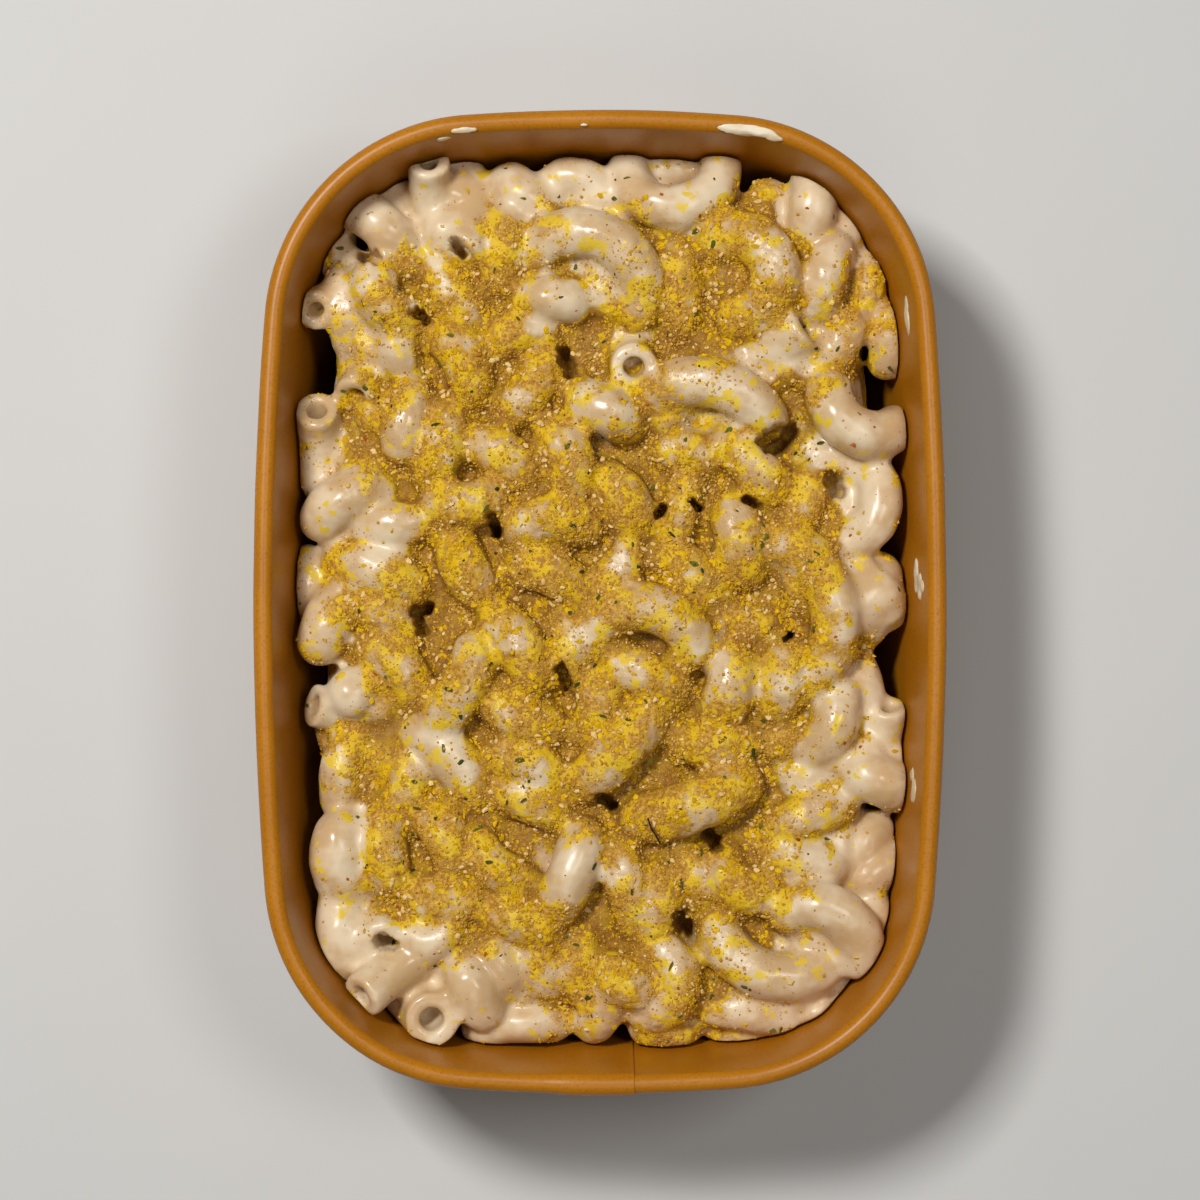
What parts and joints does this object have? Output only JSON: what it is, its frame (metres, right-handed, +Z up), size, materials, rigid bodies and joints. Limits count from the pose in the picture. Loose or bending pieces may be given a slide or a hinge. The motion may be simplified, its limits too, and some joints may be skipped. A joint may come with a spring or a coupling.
{
  "type": "macaroni cheese in a paper tub",
  "caption": "Crumb-topped macaroni in cheese sauce, filling a rectangular kraft paper takeaway tub with a rolled rim.",
  "frame": {"origin": "middle of the ring that the tub stands on, on the plane it stands on", "axes": "+Z up out of the open top, +Y along the tub's long side, away from the end with the glued seam"},
  "size_m": [0.1214, 0.172, 0.055],
  "materials": {
    "kraft_board": "coated kraft board, satin inside and plain outside",
    "macaroni": "cooked pasta under wet, glossy cheese sauce",
    "crumb_topping": "dry, matte golden crumbs",
    "herb_flecks": "dried green herb flakes"
  },
  "bodies": {
    "root": {"tub_wall": "kraft_board", "tub_base": "kraft_board", "macaroni_heap": "macaroni"}
  },
  "joints": []
}
